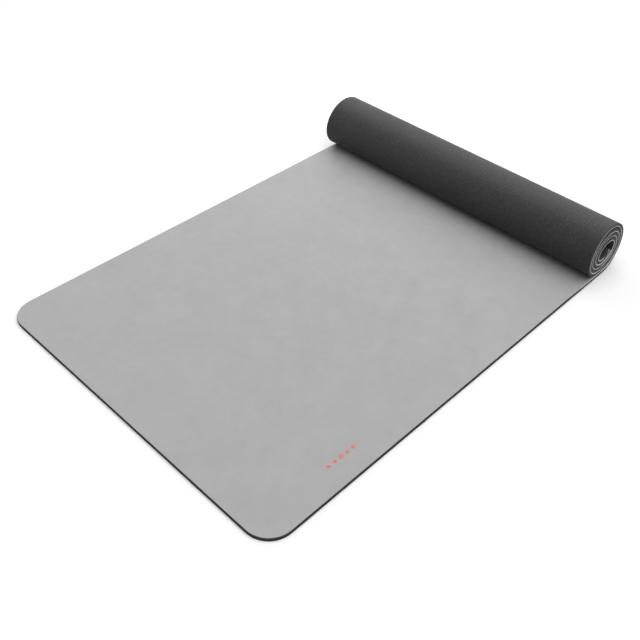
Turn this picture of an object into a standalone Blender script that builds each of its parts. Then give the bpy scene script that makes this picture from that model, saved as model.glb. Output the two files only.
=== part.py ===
"""Yoga mat, laid flat at its free end and rolled up, top side in, at the other.

The mat is one laminated sheet: a rubber base, a bonding film and a soft top. It runs along X on the
floor, turns up at the far side of the roll, passes over it, comes down on itself and winds inwards.
Each layer is cut flat, with round corners, and then laid along the sheet's neutral line.
"""
import math

import bmesh
import bpy
import numpy as np

# Cut size of the sheet, in metres as all lengths here
MAT_LENGTH = 1.730
MAT_WIDTH = 0.610
CORNER_RADIUS = 0.041

# Layers, from the floor up, with the room between two that are bonded
BASE_THICKNESS = 0.00475
FILM_THICKNESS = 0.0002
TOP_THICKNESS = 0.0008
BOND_CLEARANCE = 0.0003

# How the sheet lies: the flat part ends under the roll's lowest line
LAID_LENGTH = 0.775
BORE_RADIUS = 0.0133
TURN_CLEARANCE = 0.0006     # between turns on the side where the roll is tight
TURN_SLACK = 0.0025         # added between turns on the side where it is slack
SLACK_DIRECTION = math.radians(226)     # from straight down, rising on the far side
ROLL_SAG = 0.0025           # the roll is lower by this, and wider, than a round one
SAG_LEAN = math.radians(11)     # the lowered axis leans by this, its foot towards the far side

# Fineness of the winding and of the round corners
TURN_STEPS = 48
CORNER_STEPS = 8
LINE_STEPS = 720            # points a turn on the neutral line
LEAST_STATION = 0.0008      # cuts across the sheet lie no closer than this
MOST_TURNS = 24             # the search for the number of turns starts below this
HALVINGS = 40

FULL_TURN = 2 * math.pi
SHEET = BASE_THICKNESS + FILM_THICKNESS + TOP_THICKNESS + 2 * BOND_CLEARANCE

COLOURS = {
    "base_layer": (0.045, 0.045, 0.048),
    "bond_film": (0.60, 0.58, 0.52),
    "top_layer": (0.42, 0.42, 0.42),
}
ROUGHNESS = {"base_layer": 0.75, "bond_film": 0.45, "top_layer": 0.85}


def winding(total):
    """Neutral line of the wound part, for a total angle, from its lowest point in to its end.

    The angle starts straight down and grows over the far side. Each turn is wider than the one
    inside it by the sheet and its clearance, and by some slack towards one direction. All of them
    sag alike, the bore too.
    """
    low_angle = math.pi / 4
    angle = np.linspace(-low_angle, total, int(LINE_STEPS * (total + low_angle) / FULL_TURN))
    slack = TURN_SLACK * (1 + np.cos(angle - SLACK_DIRECTION)) / 2
    turns_inside = (total - angle) / FULL_TURN
    radius = BORE_RADIUS + SHEET / 2 + turns_inside * (SHEET + TURN_CLEARANCE + slack)
    radius -= ROLL_SAG * np.cos(2 * (angle - SAG_LEAN))
    x, z = radius * np.sin(angle), -radius * np.cos(angle)
    lowest = np.argmin(np.where(angle < low_angle, z, np.inf))
    return angle[lowest:], x[lowest:] - x[lowest], z[lowest:] - z[lowest] + SHEET / 2


def line_length(x, z):
    """Length along a line of points, up to each of them."""
    return np.concatenate([[0], np.cumsum(np.hypot(np.diff(x), np.diff(z)))])


def wound_line():
    """Neutral line whose wound part is as long as the sheet that isn't laid flat."""
    fewest, most = FULL_TURN, MOST_TURNS * FULL_TURN
    for _ in range(HALVINGS):
        total = (fewest + most) / 2
        angle, x, z = winding(total)
        if line_length(x, z)[-1] > MAT_LENGTH - LAID_LENGTH:
            most = total
        else:
            fewest = total
    return angle, x, z


ANGLE, LINE_X, LINE_Z = wound_line()
LINE_AT = LAID_LENGTH + line_length(LINE_X, LINE_Z)
HEADING = np.unwrap(np.arctan2(np.gradient(LINE_Z), np.gradient(LINE_X)))


def laid(along, height):
    """Place of a point of the flat sheet once it is laid: its distance along it and height in it."""
    if along <= LAID_LENGTH:
        return along - LAID_LENGTH, height
    x, z, heading = (float(np.interp(along, LINE_AT, line)) for line in (LINE_X, LINE_Z, HEADING))
    rise = height - SHEET / 2
    return x - rise * math.sin(heading), z + rise * math.cos(heading)


def stations():
    """Distances along the sheet at which it is cut across, to bend there, with its two ends."""
    corner_shares = [1 - math.cos(math.pi / 2 * step / CORNER_STEPS) for step in range(CORNER_STEPS + 1)]
    cuts = [CORNER_RADIUS * share for share in corner_shares]
    cuts += [MAT_LENGTH - CORNER_RADIUS * share for share in corner_shares]
    turned = np.arange(ANGLE[0], ANGLE[-1], FULL_TURN / TURN_STEPS)
    for cut in np.interp(turned, ANGLE, LINE_AT):
        if min(abs(cut - other) for other in cuts) > LEAST_STATION:
            cuts.append(float(cut))
    return sorted(cuts)


def layer(name, low, high, cuts, holder, collection):
    """One layer of the sheet between two heights: cut flat, rounded at its corners, then laid."""
    bm = bmesh.new()
    bmesh.ops.create_cube(bm, size=1)
    bmesh.ops.scale(bm, vec=(MAT_LENGTH, MAT_WIDTH, high - low), verts=bm.verts)
    bmesh.ops.translate(bm, vec=(MAT_LENGTH / 2, 0, (low + high) / 2), verts=bm.verts)
    upright = [edge for edge in bm.edges if edge.verts[0].co.xy == edge.verts[1].co.xy]
    bmesh.ops.bevel(bm, geom=upright, offset=CORNER_RADIUS, segments=CORNER_STEPS, profile=0.5, affect="EDGES")
    for cut in cuts[1:-1]:
        parts = bm.verts[:] + bm.edges[:] + bm.faces[:]
        bmesh.ops.bisect_plane(bm, geom=parts, dist=LEAST_STATION / 100, plane_co=(cut, 0, 0), plane_no=(1, 0, 0))
    for vert in bm.verts:
        vert.co.x, vert.co.z = laid(vert.co.x, vert.co.z)
    mesh = bpy.data.meshes.new(name)
    bm.to_mesh(mesh)
    bm.free()
    mesh.shade_smooth()
    mesh.set_sharp_from_angle(angle=math.radians(40))
    obj = bpy.data.objects.new(name, mesh)
    obj.parent = holder
    collection.objects.link(obj)
    obj.data.materials.append(material(name))
    return obj


def material(name):
    """Principled material of one layer."""
    finish = bpy.data.materials.new(name)
    finish.use_nodes = True
    shader = finish.node_tree.nodes["Principled BSDF"]
    shader.inputs["Base Color"].default_value = (*COLOURS[name], 1)
    shader.inputs["Roughness"].default_value = ROUGHNESS[name]
    shader.inputs["Metallic"].default_value = 0
    return finish


def least_gap(cuts):
    """Least gap from the sheet to itself, from its underside to its top side on another turn."""
    along = np.arange(0, MAT_LENGTH, SHEET / 4)

    def side(height):
        points = np.array([laid(cut, height) for cut in cuts])
        return np.interp(along, cuts, points[:, 0]), np.interp(along, cuts, points[:, 1])

    under, over = side(0), side(SHEET)
    apart = np.hypot(under[0][:, None] - over[0][None], under[1][:, None] - over[1][None])
    other_turn = np.abs(along[:, None] - along[None]) > math.pi * BORE_RADIUS
    return float(apart[other_turn].min())


def build():
    for old in list(bpy.data.objects):
        bpy.data.objects.remove(old)
    collection = bpy.data.collections.new("yoga_mat")
    bpy.context.scene.collection.children.link(collection)
    cuts = stations()
    far_side = max(laid(cut, 0)[0] for cut in cuts)
    height = max(laid(cut, 0)[1] for cut in cuts)
    # the empty puts the middle of the length that the mat takes on the floor at the origin
    holder = bpy.data.objects.new("mat_centre", None)
    holder.location.x = (LAID_LENGTH - far_side) / 2
    collection.objects.link(holder)

    film_low = BASE_THICKNESS + BOND_CLEARANCE
    top_low = film_low + FILM_THICKNESS + BOND_CLEARANCE
    layer("base_layer", 0, BASE_THICKNESS, cuts, holder, collection)
    layer("bond_film", film_low, film_low + FILM_THICKNESS, cuts, holder, collection)
    layer("top_layer", top_low, top_low + TOP_THICKNESS, cuts, holder, collection)

    print("turns in the roll:", round(float(ANGLE[-1] / FULL_TURN), 2))
    print("length on the floor and height of the roll:", round(LAID_LENGTH + far_side, 4), round(height, 4))
    print("least gap from the sheet to itself:", round(least_gap(cuts), 5))


build()
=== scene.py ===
"""Look of the yoga mat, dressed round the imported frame.

The rubber base, the bond and the top sheet are made again as finer, closed sheets that touch, with
softened rims and a cut edge of their own finish. Each is cut flat and then laid along the sheet's
neutral line, as the frame's own layers are. All lengths are in metres.
"""
import math

import bpy
import numpy as np
from mathutils import Euler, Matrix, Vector


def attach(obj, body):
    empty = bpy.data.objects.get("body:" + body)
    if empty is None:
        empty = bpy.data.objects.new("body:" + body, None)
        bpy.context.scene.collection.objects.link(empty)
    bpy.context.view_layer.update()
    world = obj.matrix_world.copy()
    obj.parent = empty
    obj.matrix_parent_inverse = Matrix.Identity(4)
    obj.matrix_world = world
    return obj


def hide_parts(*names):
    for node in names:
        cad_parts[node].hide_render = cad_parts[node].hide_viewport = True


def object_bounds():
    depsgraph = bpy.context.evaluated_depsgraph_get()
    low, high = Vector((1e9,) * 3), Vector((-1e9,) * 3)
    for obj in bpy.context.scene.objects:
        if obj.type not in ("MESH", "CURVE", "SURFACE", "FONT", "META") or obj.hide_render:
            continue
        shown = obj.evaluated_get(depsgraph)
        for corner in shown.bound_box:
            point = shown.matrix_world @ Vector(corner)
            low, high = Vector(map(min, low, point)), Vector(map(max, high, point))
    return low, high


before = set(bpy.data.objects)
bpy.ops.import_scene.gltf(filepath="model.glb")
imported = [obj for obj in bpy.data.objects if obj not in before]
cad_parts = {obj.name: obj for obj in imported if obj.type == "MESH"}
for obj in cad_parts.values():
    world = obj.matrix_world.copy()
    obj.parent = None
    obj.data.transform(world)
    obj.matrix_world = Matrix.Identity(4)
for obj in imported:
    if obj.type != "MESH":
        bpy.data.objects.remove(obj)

cad_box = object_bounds()

# Cut size of the sheet
MAT_LENGTH = 1.730
MAT_WIDTH = cad_box[1].y - cad_box[0].y
CORNER_RADIUS = 0.041
SHEET = 0.00635

# How it lies: the flat part ends under the roll's lowest line
FREE_END = cad_box[0].x
LAID_LENGTH = 0.775
BORE_RADIUS = 0.0133
TURN_CLEARANCE = 0.0006     # between turns on the side where the roll is tight
TURN_SLACK = 0.0025         # added between turns on the side where it is slack
SLACK_DIRECTION = math.radians(226)     # from straight down, rising on the far side
ROLL_SAG = 0.0025           # the roll is lower by this, and wider, than a round one
SAG_LEAN = math.radians(11)     # the lowered axis leans by this, its foot towards the far side
SETTLE = 0.0006             # the turns inside the outer one come down by this, to rest on the laid part
HANG = 0.0030               # low down on its far side the roll hangs lower by up to this, less inside
HANG_END = math.radians(72)     # angle from straight down at which it no longer does

# Layers: lowest and highest side in the flat sheet, how far the cut is drawn in, and the rim's rounding
RUBBER = (0.0, 0.00495, 0.0, 0.00030)
BOND = (0.00495, 0.00505, 0.0001, 0.00003)
TOP = (0.00505, 0.00635, 0.0, 0.00050)

# Fineness of the sheets
TURN_STEPS = 72
CORNER_STEPS = 12
ROWS = 18                   # of faces across the width
FLAT_STEP = 0.024           # length of the faces in the laid part
LEAST_STEP = 0.003          # the roll's steps end at least this far from the round corners in its bore
RIM_STRIP = 0.0015          # a narrow strip inside the rim keeps its rounding off the flat faces
LINE_STEPS = 720            # points a turn on the neutral line
MOST_TURNS = 24             # the search for the number of turns starts below this
HALVINGS = 40               # of the range that is searched

# The turns don't end quite flush: they drift to one side and back as they wind
DRIFT = 0.0007
DRIFT_WAVE = 0.190

# Plain round marks that help to line up hands and feet
DOTS = 5
DOT_RADIUS = 0.0030
DOT_PITCH = 0.0120
DOT_PLACE = (-0.248, -0.268)
DOT_RISE = 0.00012
DOT_STEPS = 32
DOT_PROFILE = ((1.0, -0.5), (1.0, 0.5), (0.93, 0.9), (0.6, 1.0))    # shares of radius and rise, foot first

# Finishes. A mottle is a noise's size and its lowest and highest value, and its detail if that is its own.
# Clouds, flecks, blotches and tones are factors on the colour, and wear is a roughness.
NOISE_SPAN = (0.3, 0.7)     # nearly all of a noise's values lie in here
NOISE_DETAIL = 3.0
NOISE_ROUGHNESS = 0.55
FINE_DETAIL = 2.0
USUAL_MIRROR = 0.5          # what the shader takes for most materials

TOP_GREY = (0.428, 0.428, 0.428)
TOP_ROUGHNESS = 0.86
TOP_CLOUDS = (0.085, 0.975, 1.02)
TOP_FLECKS = (0.014, 0.97, 1.03, 4.0)
TOP_WEAR = (0.030, 0.80, 0.92)
TOP_PEBBLE = 0.0011
TOP_FIBRE = 0.0004
TOP_RELIEF = 0.00006

RUBBER_GREY = (0.0490, 0.0490, 0.0510)
RUBBER_ROUGHNESS = 0.5
RUBBER_MIRROR = 0.15
RUBBER_CLOUDS = (0.060, 0.93, 1.07)
RUBBER_BLOTCHES = (0.0045, 0.79, 1.21)
RUBBER_FINE = 0.0007
FINE_SHARE = 0.7            # height of the fine grain, where a crest has 1
RUBBER_RELIEF = 0.00032
DIAMOND_PITCH = 0.0032      # from crest to crest of a wave, square to it
DIAMOND_WARP = 0.006        # size of the noise that bends the waves
DIAMOND_SHAKE = 2.4         # by up to this angle
DIAMOND_SHADE_TONES = (0.74, 1.26)    # hollow and crest, the hollows painted darker as shade and the crests lighter as painted light
DIAMOND_WEAR = (0.70, 0.58)

# Cut faces: greys of the laid part and of the roll, stretch of the sheet over which they change, size of
# the pores, roughness and mirroring. The laid greys are painted shade along the laid edge, the roll's
# lighter greys painted light
TOP_CUT = (((0.06, 0.06, 0.062), (0.86, 0.86, 0.86)), (0.68, 0.755), 0.0004, 0.9, USUAL_MIRROR)
RUBBER_CUT = (((0.055, 0.055, 0.057), (0.120, 0.120, 0.123)), (0.785, 0.83), 0.0009, 0.9, 0.08)
BOND_CUT = (((0.06, 0.06, 0.06), (0.50, 0.49, 0.47)), (0.68, 0.755), 0.0003, 0.6, USUAL_MIRROR)
PORE_SPAN = (0.1, 0.5)      # from a pore's middle out to its wall, as shares of its size
# pores are painted darker in their middles and lighter at their walls, as shade
PORE_SHADE_TONES = (0.80, 1.08)
PORE_ROUGHER = 0.08
PORE_RELIEF = 0.00008

CORAL = (0.76, 0.11, 0.09)
INK_ROUGHNESS = 0.55
INK_CLOUDS = (0.0012, 0.94, 1.05)
INK_WEAR = (0.0008, 0.5, 0.64)
INK_GRAIN = 0.0005
INK_RELIEF = 0.00004

BORE_WALL = 0.160           # length of the inner end that lines the bore, which is painted dark as shade
BORE_FADE = 0.0015
# factor by which the painted shade darkens the bore
BORE_PAINTED_SHADE = 0.12

# Floor and light
FLOOR_SIZE = 40.0
FLOOR_SHOWN = 1.15          # how light the floor shows
FLOOR_GREY = 0.60           # how light it is to what it lights
SKY = (0.04, 0.62)          # strength low down and overhead
SKY_RISE = (0.35, 0.95)     # heights, as shares of straight up, between which it brightens
SKY_SHOWN = 1.0             # white, where it is seen, mirrored or looked at through something
KEY = 1.665                 # a strength of pi would show a white face square to the lamp as white
KEY_ANGLE = math.radians(75)
KEY_TILT = (math.radians(14), math.radians(4))      # about X and Y, from straight down

# Soft boxes: watts, width and height, place, point faced, and whether they light matte and glossy surfaces
SOFT_BOXES = {
    "sheen_behind": (160.0, (3.0, 1.2), (2.8, 0.9, 1.9), (0.0, 0.0, 0.0), False, True),
    "sheen_beside": (18.0, (0.8, 0.8), (-0.87, 1.3, 1.0), (0.0, 0.0, 0.0), False, True),
    "floor_beside": (1.6, (0.4, 0.4), (0.62, 0.80, 0.42), (0.40, 0.36, 0.0), True, False),
}

# Camera: angles in degrees, lens and sensor in millimetres, and shift in widths of the sensor
CAMERA_PLACE = (-0.86933, -0.80579, 0.99317)
CAMERA_PITCH, CAMERA_ROLL, CAMERA_HEADING = 53.557, 1.653, -46.506
CAMERA_LENS = 51.633
CAMERA_SENSOR = 36.0
CAMERA_SHIFT = -0.14

FULL_TURN = 2 * math.pi


def winding(total):
    """Neutral line of the wound part, for a total angle, from its lowest point in to its end."""
    low_angle = math.pi / 4
    angle = np.linspace(-low_angle, total, int(LINE_STEPS * (total + low_angle) / FULL_TURN))
    slack = TURN_SLACK * (1 + np.cos(angle - SLACK_DIRECTION)) / 2
    turns_inside = (total - angle) / FULL_TURN
    radius = BORE_RADIUS + SHEET / 2 + turns_inside * (SHEET + TURN_CLEARANCE + slack)
    share = radius / radius.max()
    radius -= ROLL_SAG * np.cos(2 * (angle - SAG_LEAN))
    x, z = radius * np.sin(angle), -radius * np.cos(angle)
    settled = np.clip(angle / math.pi - 1, 0, 1)
    z -= SETTLE * settled * settled * (3 - 2 * settled)
    z -= HANG * share ** 2 * np.sin(math.pi * np.clip(np.mod(angle, FULL_TURN) / HANG_END, 0, 1)) ** 2
    lowest = np.argmin(np.where(angle < low_angle, z, np.inf))
    return angle[lowest:], x[lowest:] - x[lowest], z[lowest:] - z[lowest] + SHEET / 2


def line_length(x, z):
    """Length along a line of points, up to each of them."""
    return np.concatenate([[0], np.cumsum(np.hypot(np.diff(x), np.diff(z)))])


def wound_line():
    """Neutral line whose wound part is as long as the sheet that isn't laid flat."""
    fewest, most = FULL_TURN, MOST_TURNS * FULL_TURN
    for _ in range(HALVINGS):
        total = (fewest + most) / 2
        angle, x, z = winding(total)
        if line_length(x, z)[-1] > MAT_LENGTH - LAID_LENGTH:
            most = total
        else:
            fewest = total
    return angle, x, z


ANGLE, LINE_X, LINE_Z = wound_line()
LINE_AT = LAID_LENGTH + line_length(LINE_X, LINE_Z)
HEADING = np.unwrap(np.arctan2(np.gradient(LINE_Z), np.gradient(LINE_X)))


def laid(along, across, height):
    """Places in the row frame of points of the flat sheet, once it is laid and wound."""
    x, z, heading = (np.interp(along, LINE_AT, line) for line in (LINE_X, LINE_Z, HEADING))
    wound = along > LAID_LENGTH
    rise = height - SHEET / 2
    far = np.where(wound, x - rise * np.sin(heading), along - LAID_LENGTH)
    up = np.where(wound, z + rise * np.cos(heading), height)
    drift = DRIFT * np.sin((along - LAID_LENGTH) * FULL_TURN / DRIFT_WAVE) * np.where(wound, 1.0, 0.0)
    return np.stack([FREE_END + LAID_LENGTH + far, across - drift, up], axis=-1)


def flat_grid(inset, height):
    """Grid of flat places (along, across, height), stations by rows, of an outline drawn in by inset."""
    corner = CORNER_RADIUS - inset
    turn = np.linspace(0, math.pi / 2, CORNER_STEPS + 1)
    near = inset + corner * (1 - np.cos(turn))
    half = MAT_WIDTH / 2 - CORNER_RADIUS + corner * np.sin(turn)
    flat = np.linspace(CORNER_RADIUS, LAID_LENGTH, int((LAID_LENGTH - CORNER_RADIUS) / FLAT_STEP))[1:]
    turned = np.arange(ANGLE[0], ANGLE[-1], FULL_TURN / TURN_STEPS)[1:]
    wound = np.interp(turned, ANGLE, LINE_AT)
    wound = wound[wound < MAT_LENGTH - CORNER_RADIUS - LEAST_STEP]
    middle = np.concatenate([flat, wound])
    along = np.concatenate([near, middle, MAT_LENGTH - near[::-1]])
    half = np.concatenate([half, np.full(len(middle), MAT_WIDTH / 2 - inset), half[::-1]])
    share = np.linspace(-1, 1, ROWS + 1)
    grid = np.empty((len(along), len(share), 3))
    grid[..., 0] = along[:, None]
    grid[..., 1] = half[:, None] * share
    grid[..., 2] = height
    return grid


def outline(grid):
    """The grid's border points, anticlockwise seen from above."""
    return np.concatenate([grid[:-1, 0], grid[-1, :-1], grid[:0:-1, -1], grid[0, :0:-1]])


def linked(name, data):
    """New object of a mesh, lamp or camera, linked to the scene."""
    obj = bpy.data.objects.new(name, data)
    bpy.context.scene.collection.objects.link(obj)
    return obj


def sheet(name, low, high, recess, rounding, finish, cut):
    """One layer as a closed mesh: a top and an underside of quads, joined by a rounded rim."""
    diagonal = rounding * (1 - math.sqrt(0.5))
    rim = [(rounding, 0), (diagonal, diagonal), (0, rounding)]
    rings = [(inset, high - drop) for inset, drop in rim]
    rings += [(inset, low + drop) for inset, drop in rim[::-1]]
    over = flat_grid(recess + RIM_STRIP, high)
    under = flat_grid(recess + RIM_STRIP, low)
    borders = [outline(flat_grid(recess + inset, height)) for inset, height in rings]
    flat = np.concatenate([over.reshape(-1, 3)] + borders + [under.reshape(-1, 3)])

    stations, rows = over.shape[:2]
    number = np.arange(stations * rows).reshape(stations, rows)
    corners = [number[:-1, :-1], number[1:, :-1], number[1:, 1:], number[:-1, 1:]]
    face = np.stack([corner.ravel() for corner in corners], axis=1)
    count = len(borders[0])
    under_start = stations * rows + count * len(borders)
    edge = outline(number[..., None])[:, 0]
    loops = [edge] + [stations * rows + count * ring + np.arange(count) for ring in range(len(borders))]
    loops.append(edge + under_start)
    strips = []
    for upper, lower in zip(loops, loops[1:]):
        strips.append(np.stack([upper, lower, np.roll(lower, -1), np.roll(upper, -1)], axis=1))
    faces = np.concatenate([face, face[:, ::-1] + under_start] + strips)

    mesh = bpy.data.meshes.new(name)
    mesh.from_pydata(laid(flat[:, 0], flat[:, 1], flat[:, 2]), [], faces.tolist())
    place = mesh.attributes.new("flat_place", "FLOAT_VECTOR", "POINT")
    place.data.foreach_set("vector", flat.astype(np.float32).ravel())
    mesh.shade_smooth()
    # the first and the last strip lie flat inside the rim, so they aren't part of the cut
    on_cut = np.zeros(len(faces), dtype=np.int32)
    on_cut[2 * len(face) + count:len(faces) - count] = 1
    mesh.polygons.foreach_set("material_index", on_cut)
    mesh.materials.append(finish)
    mesh.materials.append(cut)
    return linked(name, mesh)


def dots(finish):
    """Round marks printed on the top sheet, each a low dome of ink that sinks a little into it."""
    verts, faces = [], []
    for dot in range(DOTS):
        centre_x = DOT_PLACE[0] + (dot - (DOTS - 1) / 2) * DOT_PITCH
        foot = len(verts)
        for share, rise in DOT_PROFILE:
            for step in range(DOT_STEPS):
                turn = FULL_TURN * step / DOT_STEPS
                reach = DOT_RADIUS * share
                place = (centre_x + reach * math.cos(turn), DOT_PLACE[1] + reach * math.sin(turn))
                verts.append((*place, SHEET + DOT_RISE * rise))
        crown = len(verts) - DOT_STEPS
        for ring in range(foot, crown, DOT_STEPS):
            for step in range(DOT_STEPS):
                a, b = ring + step, ring + (step + 1) % DOT_STEPS
                faces.append((a, b, b + DOT_STEPS, a + DOT_STEPS))
        faces.append([foot + step for step in reversed(range(DOT_STEPS))])
        faces.append([crown + step for step in range(DOT_STEPS)])
    mesh = bpy.data.meshes.new("alignment_dots")
    mesh.from_pydata(verts, [], faces)
    mesh.shade_smooth()
    mesh.materials.append(finish)
    return linked("alignment_dots", mesh)


def shader_of(name, colour, roughness, mirror=USUAL_MIRROR):
    """New material, with its tree and its shader. The plain values serve where nodes aren't read."""
    finish = bpy.data.materials.new(name)
    finish.use_nodes = True
    tree = finish.node_tree
    shader = tree.nodes["Principled BSDF"]
    shader.inputs["Base Color"].default_value = (*colour, 1)
    shader.inputs["Roughness"].default_value = roughness
    shader.inputs["Specular IOR Level"].default_value = mirror
    return finish, tree, shader


def node(tree, kind, settings=(), **inputs):
    """Adds a node. An input takes a number, a colour or another node's output.

    It goes by its name, with _ for each space, or by _ and its number where others share its name.
    """
    made = tree.nodes.new("ShaderNode" + kind)
    for key, value in dict(settings).items():
        setattr(made, key, value)
    for key, value in inputs.items():
        name = key.replace("_", " ")
        socket = made.inputs[int(key[1:])] if key[1:].isdigit() else made.inputs[name]
        if isinstance(value, bpy.types.NodeSocket):
            tree.links.new(value, socket)
        else:
            socket.default_value = value
    return made


def flat_place(tree):
    """Place in the flat sheet: along, across and height."""
    return node(tree, "Attribute", {"attribute_name": "flat_place"}).outputs["Vector"]


def parts_of(tree, vector):
    """A vector's parts, by the names X, Y and Z."""
    return node(tree, "SeparateXYZ", Vector=vector).outputs


def ramp(tree, value, low, high, out_low, out_high):
    """Maps value from low..high to out_low..out_high, held at both ends."""
    ends = {"From_Min": low, "From_Max": high, "To_Min": out_low, "To_Max": out_high}
    return node(tree, "MapRange", Value=value, **ends).outputs["Result"]


def calculate(tree, operation, a, b=0.0):
    """Result of an operation on one or two values."""
    return node(tree, "Math", {"operation": operation}, _0=a, _1=b).outputs["Value"]


def product(tree, *values):
    """Product of two or more values."""
    result = values[0]
    for value in values[1:]:
        result = calculate(tree, "MULTIPLY", result, value)
    return result


def mixed(tree, blend, factor, a, b):
    """Mix of two colours, which are the node's inputs 6 and 7 and its output 2."""
    made = node(tree, "Mix", {"data_type": "RGBA", "blend_type": blend}, _0=factor, _6=a, _7=b)
    return made.outputs[2]


def toned(tree, colour, tone):
    """A colour made lighter or darker by a factor."""
    grey = node(tree, "CombineColor", Red=tone, Green=tone, Blue=tone).outputs["Color"]
    return mixed(tree, "MULTIPLY", 1.0, (*colour, 1), grey)


def noise(tree, place, size, detail=NOISE_DETAIL):
    """Noise of a size, from 0 to 1."""
    made = node(tree, "TexNoise", Vector=place, Scale=1 / size, Detail=detail, Roughness=NOISE_ROUGHNESS)
    return made.outputs["Fac"]


def mottle(tree, place, size, lowest, highest, detail=NOISE_DETAIL):
    """Noise of a size, from a lowest to a highest value."""
    return ramp(tree, noise(tree, place, size, detail), *NOISE_SPAN, lowest, highest)


def drive(tree, shader, colour, roughness, height, relief):
    """Drives the shader's colour, roughness and bump, where a height of 1 stands for the relief."""
    bump = node(tree, "Bump", Height=height, Distance=relief, Strength=1.0)
    tree.links.new(colour, shader.inputs["Base Color"])
    tree.links.new(roughness, shader.inputs["Roughness"])
    tree.links.new(bump.outputs["Normal"], shader.inputs["Normal"])


def painted_bore_shade(tree, place):
    """Painted shade: a factor that is one all over the sheet, and falls in from the ends of the roll's
    bore.
    """
    parts = parts_of(tree, place)
    inward = ramp(tree, parts["X"], MAT_LENGTH - BORE_WALL - BORE_FADE, MAT_LENGTH - BORE_WALL, 0.0, 1.0)
    across = calculate(tree, "ABSOLUTE", parts["Y"])
    depth = ramp(tree, across, MAT_WIDTH / 2 - BORE_FADE, MAT_WIDTH / 2 - RIM_STRIP / 2, 1.0, 0.0)
    return ramp(tree, product(tree, inward, depth), 0.0, 1.0, 1.0, BORE_PAINTED_SHADE)


def top_finish():
    """Soft grey top: faint clouds and flecks, over a fine pebbled grain, with painted shade inside the
    roll's bore.
    """
    finish, tree, shader = shader_of("mat_top_grey", TOP_GREY, TOP_ROUGHNESS)
    place = flat_place(tree)
    clouds = mottle(tree, place, *TOP_CLOUDS)
    flecks = mottle(tree, place, *TOP_FLECKS)
    # the tone holds painted shade where the inner end lines the bore
    tone = product(tree, clouds, flecks, painted_bore_shade(tree, place))
    pebble = node(tree, "TexVoronoi", {"feature": "SMOOTH_F1"}, Vector=place, Scale=1 / TOP_PEBBLE)
    fibre = noise(tree, place, TOP_FIBRE, FINE_DETAIL)
    height = calculate(tree, "ADD", pebble.outputs["Distance"], fibre)
    drive(tree, shader, toned(tree, TOP_GREY, tone), mottle(tree, place, *TOP_WEAR), height, TOP_RELIEF)
    return finish


def diamonds(tree, place):
    """Two slanting waves, multiplied: from -1 in the hollows to 1 on the crests, in rows that wander."""
    warp = node(tree, "TexNoise", Vector=place, Scale=1 / DIAMOND_WARP, Detail=FINE_DETAIL)
    shake = node(tree, "SeparateColor", Color=warp.outputs["Color"]).outputs
    parts = parts_of(tree, place)
    waves = []
    for operation, wobble in (("ADD", shake["Red"]), ("SUBTRACT", shake["Green"])):
        slant = calculate(tree, operation, parts["X"], parts["Y"])
        turn = product(tree, slant, FULL_TURN / DIAMOND_PITCH / math.sqrt(2))
        moved = calculate(tree, "ADD", turn, product(tree, wobble, DIAMOND_SHAKE))
        waves.append(calculate(tree, "SINE", moved))
    return product(tree, *waves)


def rubber_finish():
    """Charcoal rubber, pressed with a fine diamond grain against slipping; its hollows are painted darker
    as shade and its crests lighter as painted light.
    """
    finish, tree, shader = shader_of("rubber_grain", RUBBER_GREY, RUBBER_ROUGHNESS, RUBBER_MIRROR)
    place = flat_place(tree)
    grain = diamonds(tree, place)
    clouds = mottle(tree, place, *RUBBER_CLOUDS)
    blotches = mottle(tree, place, *RUBBER_BLOTCHES)
    # the grain's hollows are painted darker as shade, its crests lighter as painted light
    tone = product(tree, clouds, blotches, ramp(tree, grain, -1.0, 1.0, *DIAMOND_SHADE_TONES))
    wear = ramp(tree, grain, -1.0, 1.0, *DIAMOND_WEAR)
    fine = noise(tree, place, RUBBER_FINE, FINE_DETAIL)
    height = calculate(tree, "ADD", grain, product(tree, fine, FINE_SHARE))
    drive(tree, shader, toned(tree, RUBBER_GREY, tone), wear, height, RUBBER_RELIEF)
    return finish


def cut_finish(name, greys, stretch, pore, roughness, mirror):
    """Cut face of a layer, with its foam's open pores painted darker in their middles as shade. It is
    painted dark as shade where laid and at the inner end in the bore, and lighter as painted light in the
    roll.
    """
    finish, tree, shader = shader_of(name, greys[1], roughness, mirror)
    place = flat_place(tree)
    along = parts_of(tree, place)["X"]
    # painted shade where laid, painted light in the roll
    painted_shade_to_light = ramp(tree, along, *stretch, 0.0, 1.0)
    inner_end = MAT_LENGTH - CORNER_RADIUS
    # painted shade on the inner end's cut, in the bore
    inner = ramp(tree, along, inner_end - BORE_FADE, inner_end + BORE_FADE, 1.0, BORE_PAINTED_SHADE)
    holes = node(tree, "TexVoronoi", Vector=place, Scale=1 / pore).outputs["Distance"]
    # pores painted darker in their middles, as shade
    tone = product(tree, ramp(tree, holes, *PORE_SPAN, *PORE_SHADE_TONES), inner)
    shades = [toned(tree, grey, tone) for grey in greys]
    wear = ramp(tree, holes, *PORE_SPAN, roughness + PORE_ROUGHER, roughness)
    height = ramp(tree, holes, *PORE_SPAN, 0.0, 1.0)
    drive(tree, shader, mixed(tree, "MIX", painted_shade_to_light, *shades), wear, height, PORE_RELIEF)
    return finish


def ink_finish():
    """Coral ink, a little smoother than the top that it is printed on."""
    finish, tree, shader = shader_of("coral_ink", CORAL, INK_ROUGHNESS)
    place = node(tree, "TexCoord").outputs["Object"]
    tone = mottle(tree, place, *INK_CLOUDS)
    height = noise(tree, place, INK_GRAIN, FINE_DETAIL)
    drive(tree, shader, toned(tree, CORAL, tone), mottle(tree, place, *INK_WEAR), height, INK_RELIEF)
    return finish


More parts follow.
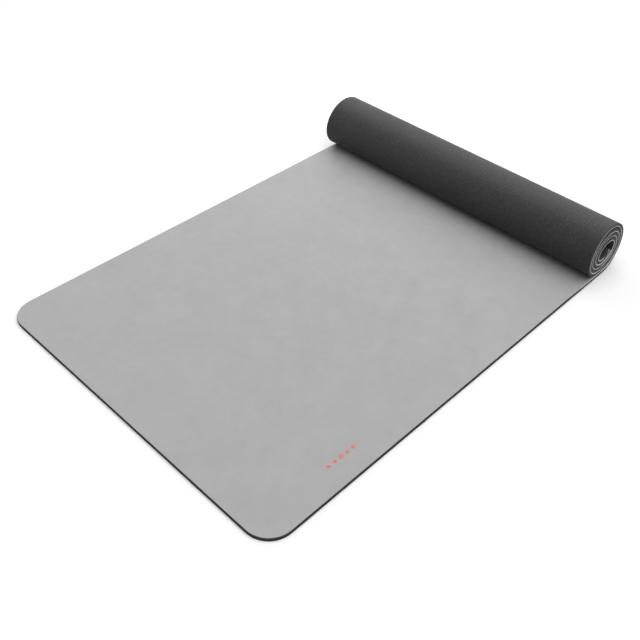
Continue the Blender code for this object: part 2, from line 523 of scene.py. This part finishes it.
def dress():
    """The mat's pieces, each riding with the frame and standing for the layer that it replaces."""
    top_cut = cut_finish("top_cut_edge", *TOP_CUT)
    rubber_cut = cut_finish("rubber_cut_edge", *RUBBER_CUT)
    bond = cut_finish("bond_film_edge", *BOND_CUT)
    made = {
        "mat_rubber": sheet("mat_rubber", *RUBBER, rubber_finish(), rubber_cut),
        "mat_bond": sheet("mat_bond", *BOND, bond, bond),
        "mat_top": sheet("mat_top", *TOP, top_finish(), top_cut),
        "alignment_dots": dots(ink_finish()),
    }
    for piece in made.values():
        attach(piece, "root")
    for name, layer, slot in (
        ("mat_rubber", "base_layer", "base_rubber"),
        ("mat_bond", "bond_film", "bond"),
        ("mat_top", "top_layer", "top_sheet"),
    ):
        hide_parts(layer)


def shown(tree):
    """One for rays that show a thing, straight, mirrored or through glass, and zero for the rest."""
    path = node(tree, "LightPath").outputs
    mirrored = calculate(tree, "MAXIMUM", path["Is Glossy Ray"], path["Is Transmission Ray"])
    return calculate(tree, "MAXIMUM", path["Is Camera Ray"], mirrored)


def floor():
    """Plain pale floor, which shows white away from the mat's shadow."""
    reach = FLOOR_SIZE / 2
    corners = [(x * reach, y * reach, 0) for x, y in ((-1, -1), (1, -1), (1, 1), (-1, 1))]
    mesh = bpy.data.meshes.new("floor")
    mesh.from_pydata(corners, [], [(0, 1, 2, 3)])
    finish = bpy.data.materials.new("floor")
    finish.use_nodes = True
    tree = finish.node_tree
    tree.nodes.clear()
    grey = ramp(tree, shown(tree), 0.0, 1.0, FLOOR_GREY, FLOOR_SHOWN)
    colour = node(tree, "CombineColor", Red=grey, Green=grey, Blue=grey).outputs["Color"]
    diffuse = node(tree, "BsdfDiffuse", Color=colour).outputs["BSDF"]
    node(tree, "OutputMaterial", Surface=diffuse)
    mesh.materials.append(finish)
    linked("floor", mesh)


def sky():
    """Sky that brightens overhead, and shows white."""
    world = bpy.data.worlds.new("sky")
    bpy.context.scene.world = world
    world.use_nodes = True
    tree = world.node_tree
    up = parts_of(tree, node(tree, "TexCoord").outputs["Generated"])["Z"]
    overhead = ramp(tree, up, *SKY_RISE, *SKY)
    strength = ramp(tree, shown(tree), 0.0, 1.0, overhead, SKY_SHOWN)
    background = tree.nodes["Background"]
    background.inputs["Color"].default_value = (1, 1, 1, 1)
    tree.links.new(strength, background.inputs["Strength"])


def soft_box(name, watts, size, place, faced, matte, glossy):
    """Rectangular lamp that faces a point, and lights matte surfaces, glossy ones or both."""
    lamp = bpy.data.lights.new(name, "AREA")
    lamp.shape = "RECTANGLE"
    lamp.size, lamp.size_y = size
    lamp.energy = watts
    obj = linked(name, lamp)
    obj.location = place
    obj.rotation_euler = (Vector(place) - Vector(faced)).to_track_quat("Z", "Y").to_euler()
    obj.visible_camera = False
    obj.visible_diffuse = matte
    obj.visible_glossy = glossy


def light():
    """The sky, soft boxes round the roll, and one very broad lamp overhead."""
    sky()
    for name, box in SOFT_BOXES.items():
        soft_box(name, *box)
    lamp = bpy.data.lights.new("key", "SUN")
    lamp.energy = KEY
    lamp.angle = KEY_ANGLE
    obj = linked("key", lamp)
    obj.rotation_euler = (*KEY_TILT, 0)


def camera():
    """Camera at the photograph's viewing angle."""
    data = bpy.data.cameras.new("camera")
    data.sensor_width = CAMERA_SENSOR
    data.lens = CAMERA_LENS
    data.shift_y = CAMERA_SHIFT
    obj = linked("camera", data)
    obj.location = CAMERA_PLACE
    aim = Euler((math.radians(CAMERA_PITCH), 0, math.radians(CAMERA_HEADING))).to_matrix()
    roll = Euler((0, 0, math.radians(CAMERA_ROLL))).to_matrix()
    obj.rotation_euler = (aim @ roll).to_euler()
    bpy.context.scene.camera = obj


dress()
floor()
light()
camera()
bpy.context.scene.view_settings.view_transform = "Standard"
